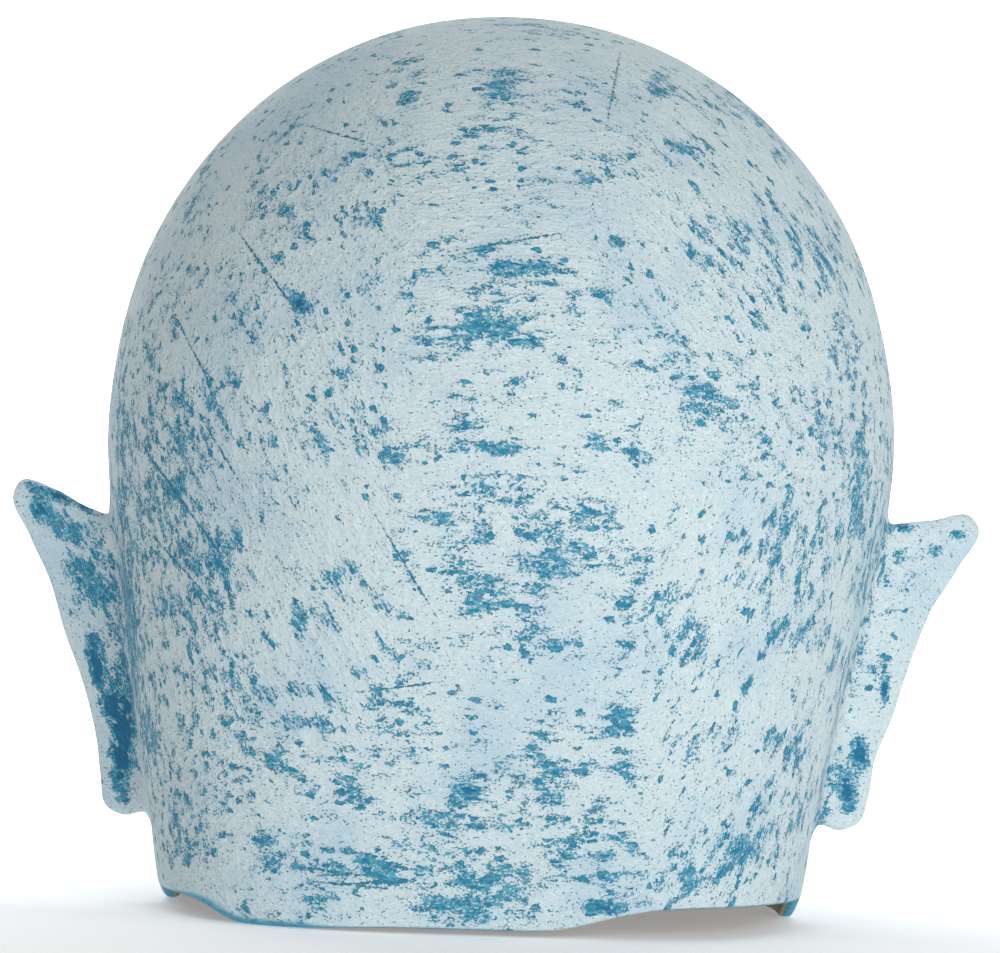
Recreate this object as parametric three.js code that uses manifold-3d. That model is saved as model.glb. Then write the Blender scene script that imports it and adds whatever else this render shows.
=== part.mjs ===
// A clown's helmet mask: one hollow shell of layered paper that goes over the whole head and stands on its
// neck rim. It has a high bald dome, two pointed ears, a ball nose, two eye holes and closed, smiling lips.
// Millimetres, +Z up. The face looks along -Y, so +X is the wearer's left.
import * as THREE from 'three';
import { mergeVertices } from 'three/addons/utils/BufferGeometryUtils.js';
import Module from 'manifold-3d';

const wasm = await Module();
wasm.setup();
const { clamp, lerp, smoothstep } = THREE.MathUtils;

// The whole shell.
const height = 282.5;
const wall = 4.5;
const centring = { x: -0.47, y: 12.8 };
const paleBlue = 0xc4d6dc;

// Above its widest level the head is a dome, a superellipse in every upright plane.
const widestLevel = 146;
const domePower = 2.06;
const domeShare = 0.6;
// Below it the head narrows to the neck: level, half width, depth behind and depth in front.
const neckStations = [
  [0, 100.4, 98, 106],
  [12, 102.7, 101, 109],
  [34, 105.9, 104.5, 112.5],
  [62, 111.4, 109.5, 116.5],
  [105, 119.4, 117.5, 120.5],
  [widestLevel, 125.3, 121.5, 122],
];
// Level sections are superellipses, round at the dome and boxier at the rim, most of all behind.
const sectionPower = { dome: 2.1, rimBehind: 3, rimInFront: 2.4 };
// The neck stands a little to the wearer's left of the dome.
const neckLean = { by: 2.6, from: 130, to: 40 };
// The rim is cut by hand a little below the neck. Behind, it rises again, most on the wearer's right.
const rimDrop = 1.7;
const rimRises = [
  { side: -75, reach: 42, by: 9.4 },
  { side: 5, reach: 42, by: 1.7 },
  { side: 97, reach: 17, by: 6.3 },
];
const rimFadesUp = 25;

// The face. Levels are heights above the neck's end, and a place to the side holds for both sides.
const eye = { side: 42, level: 127, halfWidth: 18, halfHeight: 9, slant: 0.1 };
const nose = { level: 95, radius: 22, centre: -125, hollowRadius: 17 };
const brow = { side: 45, level: 152, arch: 11, halfLength: 33, reach: 6, out: 4.2 };
const mouth = { level: 54, halfWidth: 46, smile: 8 };
// The broad forms run through the whole wall: side, level, reach across and up, and how far each stands out.
const broadForms = [
  { name: 'brow ridge', side: 38, level: 147, across: 27, up: 12, out: 4 },
  { name: 'eye socket', side: 42, level: 127, across: 24, up: 15, out: -11 },
  { name: 'nose bridge', side: 0, level: 122, across: 12, up: 22, out: 8 },
  { name: 'cheek', side: 66, level: 84, across: 25, up: 21, out: 11 },
  { name: 'muzzle', side: 0, level: 57, across: 42, up: 24, out: 8 },
  { name: 'chin', side: 0, level: 20, across: 24, up: 15, out: 11 },
  { name: 'chin fold', side: 0, level: 37, across: 26, up: 6, out: -4 },
  { name: 'temple', side: 96, level: 148, across: 18, up: 26, out: -3 },
];
// The fold from the nose to the corner of the mouth.
const cheekFold = { topSide: 33, footSide: 58, top: 92, foot: 52, reach: 5, in: 3.5 };

// The ears: each outline runs from the lobe round the tip to the root inside the wall, as side and level.
const leftOutline = [
  [104, 28.3], [110.5, 25.6], [116.8, 25.3], [121.5, 27.6], [123.3, 36], [125.2, 49],
  [130, 66], [136.6, 82.5], [141.9, 98.5], [149.2, 113], [154.6, 126.6],
  [152.8, 129.8], [142, 127.9], [131.6, 122.8], [117, 117.5], [103, 72],
];
const rightOutline = [
  [101, 30.3], [105.5, 28.3], [111, 27.5], [116.8, 29.8], [119.5, 38], [121.2, 49.5],
  [126, 62], [131.3, 79.5], [137.9, 97.5], [146.6, 111.7], [152.6, 125.4],
  [150.6, 127.8], [138, 126.5], [129, 125.5], [114, 123], [101, 74],
];
// The leaf of the ear slopes forwards from its root to its free edge, faces inwards, and bows at its middle.
const earMiddle = { side: 112.5, level: 80, bow: 1 };
const earSweep = { root: 22, lobe: 8, tip: 6, startsOut: -8, endsOut: 28 };
const earFaces = new THREE.Vector3(-0.45, -0.89, 0);
// Its thickness, and the forms on its front by their share of the way from the middle to the edge.
const earThickness = { sheet: 4.6, roundsFrom: 0.86 };
const earForms = [
  { name: 'rolled edge', at: 0.9, reach: 0.09, out: 4 },
  { name: 'inner ridge', at: 0.56, reach: 0.13, out: 4 },
];

// How finely each surface is faceted.
const facets = { headRows: 44, headColumns: 72, cavityRows: 24, cavityColumns: 30 };
const earFacets = { round: 24, across: 6 };
const noseFacets = { round: 16, up: 10 };

// A soft mound of height 1 at its middle.
const mound = (across, up) => Math.exp(-(across ** 2) - up ** 2);

// How far the head leans to the wearer's left at a level.
const leanAt = (level) => neckLean.by * (1 - smoothstep(level, neckLean.to, neckLean.from));

// One column of the neck stations at a level, on a cubic that runs smoothly through them and ends upright.
function stationAt(column, level) {
  const last = neckStations.length - 1;
  const slope = (i) => {
    if (i === last) return 0;
    const [low, high] = [neckStations[Math.max(i - 1, 0)], neckStations[i + 1]];
    return (high[column] - low[column]) / (high[0] - low[0]);
  };
  const next = Math.max(1, neckStations.findIndex((station) => station[0] >= level));
  const [low, high] = [neckStations[next - 1], neckStations[next]];
  const span = high[0] - low[0];
  const t = (level - low[0]) / span;
  return low[column] * (2 * t ** 3 - 3 * t ** 2 + 1) + slope(next - 1) * span * (t ** 3 - 2 * t ** 2 + t)
    + high[column] * (3 * t ** 2 - 2 * t ** 3) + slope(next) * span * (t ** 3 - t ** 2);
}

function broadRelief(x, z) {
  return broadForms.reduce((sum, { side, level, across, up, out }) => {
    const rise = (z - level) / up;
    const mirrored = side ? mound((x + side) / across, rise) : 0;
    return sum + out * (mound((x - side) / across, rise) + mirrored);
  }, 0);
}

// The carving on the outside alone: brows, eyelids, lips, and the fold beside nose and mouth.
function carving(x, z) {
  const side = Math.abs(x);
  const alongBrow = Math.abs(side - brow.side) / brow.halfLength;
  const browLevel = brow.level + brow.arch * (1 - alongBrow ** 2);
  const brows = brow.out * mound(0, (z - browLevel) / brow.reach) * (1 - smoothstep(alongBrow, 0.7, 1.1));
  const fromEye = { x: side - eye.side, z: z - eye.level - eye.slant * (side - eye.side) };
  const ring = Math.max(Math.hypot(fromEye.x / eye.halfWidth, fromEye.z / eye.halfHeight), 0.1);
  const beyondLid = Math.hypot(fromEye.x, fromEye.z) * (1 - 1 / ring);
  const lids = 3.4 * mound(0, (beyondLid - 3.5) / 3.8);
  const fromLips = z - mouth.level - mouth.smile * (x / mouth.halfWidth) ** 2;
  const bow = 1 - 0.3 * mound(x / 7, 0);
  const lips = 4.6 * bow * mound(0, (fromLips - 6) / 4.4) + 5.6 * mound(0, (fromLips + 7) / 5.4);
  const parting = 3.6 * mound(0, fromLips / 2.6);
  const withinMouth = 1 - smoothstep(side, mouth.halfWidth * 0.5, mouth.halfWidth);
  const downFold = (cheekFold.top - z) / (cheekFold.top - cheekFold.foot);
  const foldSide = lerp(cheekFold.topSide, cheekFold.footSide, downFold ** 0.6 || 0);
  const foldEnds = smoothstep(downFold, 0, 0.3) * (1 - smoothstep(downFold, 0.75, 1.1));
  const fold = cheekFold.in * mound((side - foldSide) / cheekFold.reach, 0) * foldEnds;
  return brows + lids + (lips - parting) * withinMouth - fold;
}

// The radius of the level section in the direction (c, s).
function sectionRadius(c, s, level, inset) {
  const rimPower = s > 0 ? sectionPower.rimBehind : sectionPower.rimInFront;
  const power = lerp(rimPower, sectionPower.dome, smoothstep(level, 0, widestLevel));
  const halfWidth = stationAt(1, level) - inset;
  const depth = stationAt(s > 0 ? 2 : 3, level) - inset;
  return (Math.abs(c / halfWidth) ** power + Math.abs(s / depth) ** power) ** (-1 / power);
}

// The level of the hand-cut rim at a place. Its rises lie behind the middle of the head.
function rimLevel(x, y) {
  const rises = rimRises.map(({ side, reach, by }) => by * Math.exp(-(((x - side) / reach) ** 4)));
  return rises.reduce((sum, rise) => sum + rise, 0) * smoothstep(y, 0, 30) - rimDrop;
}

// A point of the head. The azimuth turns from the wearer's left towards the back, and rise goes from 0 at
// the rim to 1 at the crown. The inside is the same form, inset by the wall and without the carving.
function headPoint(azimuth, rise, inset) {
  const [c, s] = [Math.cos(azimuth), Math.sin(azimuth)];
  const rimRadius = sectionRadius(c, s, 0, inset);
  const evenLevel = Math.min(1, rise / (1 - domeShare)) * widestLevel;
  const cut = rimLevel(rimRadius * c, rimRadius * s);
  const level = evenLevel + cut * (1 - smoothstep(evenLevel, 0, rimFadesUp));
  const dome = Math.max(0, 1 - (1 - rise) / domeShare) * Math.PI / 2;
  const z = level + Math.sin(dome) ** (2 / domePower) * (height - inset - widestLevel);
  const radius = sectionRadius(c, s, level, inset) * Math.cos(dome) ** (2 / domePower);
  const relief = broadRelief(radius * c, z) + (inset ? 0 : carving(radius * c, z));
  const out = radius + relief * smoothstep(-s, 0.05, 0.45);
  return new THREE.Vector3(out * c + leanAt(z), out * s, z);
}

// Azimuths round the head, from the back round and closest together over the face.
function azimuths(count) {
  const crowding = 0.55;
  return Array.from({ length: count }, (_, j) => {
    const turn = (2 * j) / count - 1;
    return Math.PI * (turn - 0.5) - crowding * Math.sin(Math.PI * turn);
  });
}

// A closed surface through rings of points, with a fan at each end, its two halves split as mirror images.
function closedSurface(rings, start, end) {
  const size = rings[0].length;
  const points = [...rings.flat(), start, end];
  const index = [];
  for (let j = 0; j < size; j++) {
    const k = (j + 1) % size;
    index.push(points.length - 2, k, j);
    index.push(points.length - 1, (rings.length - 1) * size + j, (rings.length - 1) * size + k);
    for (let i = 0; i + 1 < rings.length; i++) {
      const [a, b, c, d] = [i * size + j, i * size + k, (i + 1) * size + k, (i + 1) * size + j];
      index.push(...(2 * j < size ? [a, b, c, a, c, d] : [a, b, d, b, c, d]));
    }
  }
  const geometry = new THREE.BufferGeometry().setFromPoints(points);
  return geometry.setIndex(index);
}

// A closed geometry as a solid that can be joined and cut, turned the right way out if it is a mirror image.
function solid(geometry) {
  const bare = geometry.clone();
  bare.deleteAttribute('normal');
  bare.deleteAttribute('uv');
  const merged = mergeVertices(bare, 1e-3);
  const triVerts = new Uint32Array(merged.index.array);
  const vertProperties = merged.attributes.position.array;
  const made = new wasm.Manifold(new wasm.Mesh({ numProp: 3, vertProperties, triVerts }));
  if (made.volume() > 0) return made;
  return new wasm.Manifold(new wasm.Mesh({ numProp: 3, vertProperties, triVerts: triVerts.reverse() }));
}

// Rings of points round the head from the rim up, closest together below the brows.
function headRings(rows, columns, inset) {
  const share = (row) => row / rows;
  const rise = (row) => 0.62 * share(row) + 0.38 * share(row) ** 5;
  return Array.from({ length: rows }, (_, row) => (
    azimuths(columns).map((azimuth) => headPoint(azimuth, rise(row), inset))
  ));
}

function head() {
  const rings = headRings(facets.headRows, facets.headColumns, 0);
  return solid(closedSurface(rings, new THREE.Vector3(0, 0, -rimDrop), new THREE.Vector3(0, 0, height)));
}

// The room inside, which runs on below the rim so that the neck is open.
function cavity() {
  const below = new THREE.Vector3(0, 0, -20);
  const rings = headRings(facets.cavityRows, facets.cavityColumns, wall);
  rings.unshift(rings[0].map((p) => p.clone().add(below)));
  return solid(closedSurface(rings, below, new THREE.Vector3(0, 0, height - wall)));
}

// Where the middle of the ear's sheet lies, in front of or behind the middle of the head.
function earDepth(x, z) {
  const sweepRun = earSweep.endsOut - earSweep.startsOut;
  const out = clamp((x - stationAt(1, z) - earSweep.startsOut) / sweepRun, 0, 1);
  const freeEdge = lerp(earSweep.lobe, earSweep.tip, smoothstep(z, 25, 125));
  return lerp(earSweep.root, freeEdge, out);
}

// One ear: a leaf that slopes forwards from its root in the wall, with a rolled edge and a ridge on its front.
function ear(outline, hand) {
  const curve = new THREE.CatmullRomCurve3(outline.map(([x, z]) => new THREE.Vector3(x, 0, z)), true);
  const edge = curve.getSpacedPoints(earFacets.round).slice(1);
  const middle = new THREE.Vector3(earMiddle.side, 0, earMiddle.level);
  const { sheet, roundsFrom } = earThickness;
  const leafPoint = (edgePoint, place, onFront) => {
    const free = smoothstep(edgePoint.x - stationAt(1, edgePoint.z), 2, 20);
    const closing = Math.sqrt(1 - (Math.max(0, place - roundsFrom) / (1 - roundsFrom)) ** 2);
    const forms = earForms.map(({ at, reach, out }) => out * free * mound((place - at) / reach, 0));
    const across = onFront ? sheet / 2 + forms[0] + forms[1] : -sheet / 2;
    const offset = earMiddle.bow * (1 - place ** 2) + across * closing;
    const point = middle.clone().lerp(edgePoint, place);
    return point.setY(earDepth(point.x, point.z)).addScaledVector(earFaces, offset);
  };
  const rings = Array.from({ length: 2 * earFacets.across }, (_, i) => {
    const turn = (i + 0.5) / earFacets.across;
    return edge.map((rim) => leafPoint(rim, Math.sin(turn * Math.PI / 2), turn < 1));
  });
  const poles = [true, false].map((onFront) => leafPoint(edge[0], 0, onFront));
  return solid(closedSurface(rings, ...poles).scale(hand, 1, 1));
}

// The ball of the nose, or with the smaller radius the hollow in it, which opens into the head.
function ball(radius) {
  const sphere = new THREE.SphereGeometry(radius, noseFacets.round, noseFacets.up);
  return solid(sphere.translate(leanAt(nose.level), nose.centre, nose.level));
}

// An almond-shaped cutter that runs through the wall at one eye.
function eyeCutter(hand) {
  const { halfWidth: w, halfHeight: h, slant } = eye;
  const almond = new THREE.Shape();
  almond.moveTo(-w, -w * slant);
  almond.bezierCurveTo(-w * 0.4, -h * 1.3, w * 0.5, -h * 1.2, w, w * slant);
  almond.bezierCurveTo(w * 0.5, h * 1.45, -w * 0.4, h * 1.35, -w, -w * slant);
  const cutter = new THREE.ExtrudeGeometry(almond, { depth: 60, bevelEnabled: false, curveSegments: 7 });
  return solid(cutter.rotateX(Math.PI / 2).translate(eye.side, -80, eye.level).scale(hand, 1, 1));
}

const whole = head().add(ear(leftOutline, 1)).add(ear(rightOutline, -1)).add(ball(nose.radius));
const hollowed = whole.subtract(cavity()).subtract(ball(nose.hollowRadius));
const { vertProperties, triVerts } = hollowed.subtract(eyeCutter(1)).subtract(eyeCutter(-1)).getMesh();

const geometry = new THREE.BufferGeometry();
geometry.setAttribute('position', new THREE.BufferAttribute(vertProperties, 3));
geometry.setIndex(new THREE.BufferAttribute(triVerts, 1));
const paintedPaper = new THREE.MeshStandardMaterial({ color: paleBlue, roughness: 0.75, metalness: 0 });
const mask = new THREE.Mesh(geometry, paintedPaper);
mask.name = 'mask';
mask.position.set(centring.x, centring.y, rimDrop);

const group = new THREE.Group();
group.add(mask);
export default group;
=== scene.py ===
import math

import bmesh
import bpy
import numpy as np
from mathutils import Matrix, Vector


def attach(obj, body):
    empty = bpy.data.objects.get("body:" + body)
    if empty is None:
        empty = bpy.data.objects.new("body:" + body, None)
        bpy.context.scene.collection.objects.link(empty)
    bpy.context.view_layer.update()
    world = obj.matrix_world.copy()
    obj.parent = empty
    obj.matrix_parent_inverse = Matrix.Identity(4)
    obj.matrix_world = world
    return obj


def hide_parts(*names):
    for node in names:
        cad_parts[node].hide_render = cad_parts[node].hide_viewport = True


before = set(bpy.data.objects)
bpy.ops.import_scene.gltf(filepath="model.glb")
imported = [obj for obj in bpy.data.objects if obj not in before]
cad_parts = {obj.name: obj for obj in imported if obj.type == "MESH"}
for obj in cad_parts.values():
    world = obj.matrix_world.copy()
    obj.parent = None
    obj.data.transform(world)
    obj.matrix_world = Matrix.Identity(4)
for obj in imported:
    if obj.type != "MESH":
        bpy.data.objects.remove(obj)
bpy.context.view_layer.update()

# The mask
# One hollow shell of layered paper, moulded as a whole head with pointed ears and a ball nose, and cut by
# hand round the neck. A coat of blue paint lies under a pale one, dry-brushed, which leaves blue showing in
# every pit, scratch and recess. Sizes are in millimetres, as the maker would take them.

HEIGHT = 282.5
WALL = 4.5
RIM_DROP = 1.7
CENTRING = np.array([-0.47, 12.8, RIM_DROP])
WIDEST_LEVEL = 146.0
DOME_POWER = 2.06
DOME_SHARE = 0.6
NECK_LEVELS = np.array([0.0, 12.0, 34.0, 62.0, 105.0, WIDEST_LEVEL])
HALF_WIDTHS = np.array([100.4, 102.7, 105.9, 111.4, 119.4, 125.3])
DEPTHS_BEHIND = np.array([98.0, 101.0, 104.5, 109.5, 117.5, 121.5])
DEPTHS_IN_FRONT = np.array([106.0, 109.0, 112.5, 116.5, 120.5, 122.0])
SECTION_POWER = {"dome": 2.1, "rim_behind": 3.0, "rim_in_front": 2.4}
NECK_LEAN = {"by": 2.6, "from": 130.0, "to": 40.0}
# The hand-cut rim lies a little below the end of the neck, and rises again behind: the side, reach and
# height of each rise.
RIM_RISES = [(-75.0, 42.0, 9.4), (5.0, 42.0, 1.7), (97.0, 17.0, 6.3)]
RIM_RISES_BY = 30.0
RIM_FADES_UP = 25.0
RIM_ROUNDING = {"plain": 1.2, "bevel": 2.4, "bevel_side": 74.0, "bevel_reach": 24.0}
# The soft lumps that hand-laid paper leaves all over, which fade out towards the rim.
LUMPS = {"height": 0.35, "shortest": 22.0, "longest": 70.0, "full_above": 30.0}

EYE = {"side": 42.0, "level": 127.0, "half_width": 18.0, "half_height": 9.0, "slant": 0.1}
EYE_CUT = {"from": -140.0, "to": -80.0, "step": 1.0}
LID = {"off_the_hole": 3.5, "reach": 3.8, "out": 3.4}
NOSE = {"level": 95.0, "radius": 22.0, "centre": -125.0, "hollow_radius": 17.0}
BROW = {"side": 45.0, "level": 152.0, "arch": 11.0, "half_length": 33.0, "reach": 6.0, "out": 4.2}
BROW_FADES = (0.7, 1.1)
MOUTH = {"level": 54.0, "half_width": 46.0, "smile": 8.0}
UPPER_LIP = {"above": 6.0, "reach": 4.4, "out": 4.6, "bow": 0.3, "bow_reach": 7.0}
LOWER_LIP = {"below": 7.0, "reach": 5.4, "out": 5.6}
LIP_PARTING = {"reach": 2.6, "in": 3.6}
CHEEK_FOLD = {"top_side": 33.0, "foot_side": 58.0, "top": 92.0, "foot": 52.0, "reach": 5.0, "in": 3.5}
CHEEK_FOLD_CURVE = 0.6
CHEEK_FOLD_FADES = {"in": (0.0, 0.3), "out": (0.75, 1.1)}
# The face's relief fades in over this share of the way from the side of the head to its front.
FACE_FADES = (0.05, 0.45)
# Each broad form: side, level, reach across, reach up, and how far it stands out.
BROAD_FORMS = {
    "brow ridge": (38, 147, 27, 12, 4),
    "eye socket": (42, 127, 24, 15, -11),
    "nose bridge": (0, 122, 12, 22, 8),
    "cheek": (66, 84, 25, 21, 11),
    "muzzle": (0, 57, 42, 24, 8),
    "chin": (0, 20, 24, 15, 11),
    "chin fold": (0, 37, 26, 6, -4),
    "temple": (96, 148, 18, 26, -3),
}

# The ears, as side and level from the lobe round the tip to the root inside the wall.
LEFT_OUTLINE = [
    (104, 28.3), (110.5, 25.6), (116.8, 25.3), (121.5, 27.6), (123.3, 36), (125.2, 49),
    (130, 66), (136.6, 82.5), (141.9, 98.5), (149.2, 113), (154.6, 126.6),
    (152.8, 129.8), (142, 127.9), (131.6, 122.8), (117, 117.5), (103, 72),
]
RIGHT_OUTLINE = [
    (101, 30.3), (105.5, 28.3), (111, 27.5), (116.8, 29.8), (119.5, 38), (121.2, 49.5),
    (126, 62), (131.3, 79.5), (137.9, 97.5), (146.6, 111.7), (152.6, 125.4),
    (150.6, 127.8), (138, 126.5), (129, 125.5), (114, 123), (101, 74),
]
OUTLINE_POINTS = 150
EAR_MIDDLE = {"side": 112.5, "level": 80.0, "bow": 1.0}
EAR_SWEEP = {"root": 22.0, "lobe": 8.0, "tip": 6.0, "starts_out": -8.0, "ends_out": 28.0}
EAR_LEVELS = {"lobe": 25.0, "tip": 125.0}
EAR_FREE = (2.0, 20.0)
EAR_FACES = (-0.45, -0.89, 0.0)
EAR_THICKNESS = {"sheet": 4.6, "rounds_from": 0.86}
EAR_FORMS = {"rolled edge": (0.9, 0.09, 4.0), "inner ridge": (0.56, 0.13, 4.0)}
# The paper swells where the upper edge of each ear runs into the head.
EAR_SWELLING = {"level": 115.0, "back": 14.0, "up": 11.0, "out": 3.0}

# The surfaces that meet in the mask, by material slot.
SURFACES = ["head", "ear", "nose", "inside", "cut"]


def smoothstep(x, low, high):
    """0 below low, 1 above high, and 3 t squared minus 2 t cubed between them."""
    t = np.clip((x - low) / (high - low), 0.0, 1.0)
    return t * t * (3.0 - 2.0 * t)


def mound(across, up=0.0):
    """A bell of height 1: e to the minus (across squared plus up squared)."""
    return np.exp(-np.square(across) - np.square(up))


def station(values, level):
    """The cubic through values at NECK_LEVELS, its slopes taken from the neighbours and its top upright."""
    slopes = np.gradient(values, NECK_LEVELS)
    slopes[1:-1] = (values[2:] - values[:-2]) / (NECK_LEVELS[2:] - NECK_LEVELS[:-2])
    slopes[-1] = 0.0
    low = np.clip(np.searchsorted(NECK_LEVELS, level) - 1, 0, len(values) - 2)
    span = NECK_LEVELS[low + 1] - NECK_LEVELS[low]
    t = (level - NECK_LEVELS[low]) / span
    return (values[low] * (2 * t**3 - 3 * t**2 + 1) + slopes[low] * span * (t**3 - 2 * t**2 + t)
            + values[low + 1] * (3 * t**2 - 2 * t**3) + slopes[low + 1] * span * (t**3 - t**2))


def lean(level):
    """How far the head leans to the wearer's left: all of it at the neck, easing to none at the dome."""
    return NECK_LEAN["by"] * (1.0 - smoothstep(level, NECK_LEAN["to"], NECK_LEAN["from"]))


def broad_relief(x, z):
    """The sum of the face's broad mounds and hollows, each on both sides unless it is in the middle."""
    total = np.zeros_like(x)
    for side, level, across, up, out in BROAD_FORMS.values():
        for hand in (1, -1) if side else (1,):
            total += out * mound((x - hand * side) / across, (z - level) / up)
    return total


def carving(x, z):
    """Brows on parabolic arches, lids round an ellipse, lips on a parabola, a groove from nose to mouth."""
    side = np.abs(x)
    along_brow = np.abs(side - BROW["side"]) / BROW["half_length"]
    brow_level = BROW["level"] + BROW["arch"] * (1 - along_brow**2)
    brows = BROW["out"] * mound((z - brow_level) / BROW["reach"]) * (1 - smoothstep(along_brow, *BROW_FADES))
    eye_x = side - EYE["side"]
    eye_z = z - EYE["level"] - EYE["slant"] * eye_x
    ring = np.maximum(np.hypot(eye_x / EYE["half_width"], eye_z / EYE["half_height"]), 0.1)
    beyond_lid = np.hypot(eye_x, eye_z) * (1 - 1 / ring)
    lids = LID["out"] * mound((beyond_lid - LID["off_the_hole"]) / LID["reach"])
    from_lips = z - MOUTH["level"] - MOUTH["smile"] * (x / MOUTH["half_width"]) ** 2
    bow = 1 - UPPER_LIP["bow"] * mound(x / UPPER_LIP["bow_reach"])
    upper_lip = UPPER_LIP["out"] * bow * mound((from_lips - UPPER_LIP["above"]) / UPPER_LIP["reach"])
    lower_lip = LOWER_LIP["out"] * mound((from_lips + LOWER_LIP["below"]) / LOWER_LIP["reach"])
    parting = LIP_PARTING["in"] * mound(from_lips / LIP_PARTING["reach"])
    within_mouth = 1 - smoothstep(side, MOUTH["half_width"] * 0.5, MOUTH["half_width"])
    down_fold = (CHEEK_FOLD["top"] - z) / (CHEEK_FOLD["top"] - CHEEK_FOLD["foot"])
    fold_run = CHEEK_FOLD["foot_side"] - CHEEK_FOLD["top_side"]
    fold_side = CHEEK_FOLD["top_side"] + fold_run * np.maximum(down_fold, 0.0) ** CHEEK_FOLD_CURVE
    fold_ends = smoothstep(down_fold, *CHEEK_FOLD_FADES["in"])
    fold_ends = fold_ends * (1 - smoothstep(down_fold, *CHEEK_FOLD_FADES["out"]))
    fold = CHEEK_FOLD["in"] * mound((side - fold_side) / CHEEK_FOLD["reach"]) * fold_ends
    return brows + lids + (upper_lip + lower_lip - parting) * within_mouth - fold


def unevenness(x, y, z, shortest, longest, seed):
    """Soft lumps of hand-laid paper: plane waves in random directions, added up, the long ones strongest."""
    rng = np.random.default_rng(seed)
    waves = 26
    total = np.zeros_like(x)
    for _ in range(waves):
        direction = rng.normal(size=3)
        direction /= np.linalg.norm(direction)
        length = rng.uniform(shortest, longest)
        along = direction[0] * x + direction[1] * y + direction[2] * z
        total += length / longest * np.sin(2 * np.pi * along / length + rng.uniform(0, 2 * np.pi))
    return total / np.sqrt(waves)


def section_radius(c, s, level, inset):
    """The radius of the superellipse section at a level: (|c / width| ^ n + |s / depth| ^ n) ^ (-1 / n)."""
    rim_power = np.where(s > 0, SECTION_POWER["rim_behind"], SECTION_POWER["rim_in_front"])
    power = rim_power + (SECTION_POWER["dome"] - rim_power) * smoothstep(level, 0, WIDEST_LEVEL)
    half_width = station(HALF_WIDTHS, level) - inset
    depth = np.where(s > 0, station(DEPTHS_BEHIND, level), station(DEPTHS_IN_FRONT, level)) - inset
    return (np.abs(c / half_width) ** power + np.abs(s / depth) ** power) ** (-1 / power)


def rim_cut(x, y):
    """The rim's level at a place: the drop below the neck, with a flat-topped bell for each rise behind."""
    rises = sum(by * np.exp(-(((x - side) / reach) ** 4)) for side, reach, by in RIM_RISES)
    return rises * smoothstep(y, 0, RIM_RISES_BY) - RIM_DROP


def rim_bevel(x, y):
    """How far the bevel of the rim is cut in: one flat-topped bell, behind only."""
    flat_topped = mound(((x - RIM_ROUNDING["bevel_side"]) / RIM_ROUNDING["bevel_reach"]) ** 2)
    return RIM_ROUNDING["bevel"] * (flat_topped * (y > 0))


def head_surface(rows, columns, inset):
    """Sections stacked from the rim to the crown, with the face's relief added along the radius. The lowest
    rows lie close together and follow a quarter circle, which rounds the cut edge, outside and inside."""
    rim_levels = np.array([0.0, 0.15, 0.4, 0.75, 1.2, 1.8, 2.6, 3.6, 5.0])
    rim_rises = rim_levels * (1 - DOME_SHARE) / WIDEST_LEVEL
    share = np.arange(1, rows) / rows
    thinning_out = 0.75 * share + 0.25 * share**5
    rise = np.concatenate([rim_rises, rim_rises[-1] + (1 - rim_rises[-1]) * thinning_out])[:, None]
    turn = 2 * np.arange(columns) / columns - 1
    crowded_in_front = 0.15
    azimuth = (np.pi * (turn - 0.5) - crowded_in_front * np.sin(np.pi * turn))[None, :]
    c, s = np.cos(azimuth), np.sin(azimuth)
    plan = section_radius(c, s, 0.0, inset)
    cut = rim_cut(plan * c, plan * s)
    level = np.minimum(1, rise / (1 - DOME_SHARE)) * WIDEST_LEVEL
    above_cut = level
    level = level + cut * (1 - smoothstep(level, 0, RIM_FADES_UP))
    dome = np.maximum(0, 1 - (1 - rise) / DOME_SHARE) * np.pi / 2
    z = level + np.sin(dome) ** (2 / DOME_POWER) * (HEIGHT - inset - WIDEST_LEVEL)
    radius = section_radius(c, s, level, inset) * np.cos(dome) ** (2 / DOME_POWER)
    relief = broad_relief(radius * c, z)
    if not inset:
        relief = relief + carving(radius * c, z)
    swelling = mound(radius * s / EAR_SWELLING["back"], (z - EAR_SWELLING["level"]) / EAR_SWELLING["up"])
    out = radius + relief * smoothstep(-s, *FACE_FADES) + (0 if inset else EAR_SWELLING["out"] * swelling)
    lumps = unevenness(out * c, out * s, z, LUMPS["shortest"], LUMPS["longest"], seed=int(inset))
    out = out + LUMPS["height"] * lumps * smoothstep(z, 0, LUMPS["full_above"])
    rounding = RIM_ROUNDING["plain"] + (0 if inset else rim_bevel(plan * c, plan * s))
    below = np.clip(1 - above_cut / rounding, 0, 1)
    rounded = rounding * (1 - np.sqrt(1 - below**2))
    out = out + (rounded if inset else -rounded)
    return np.stack([out * c + lean(z), out * s, z], axis=-1)


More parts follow.
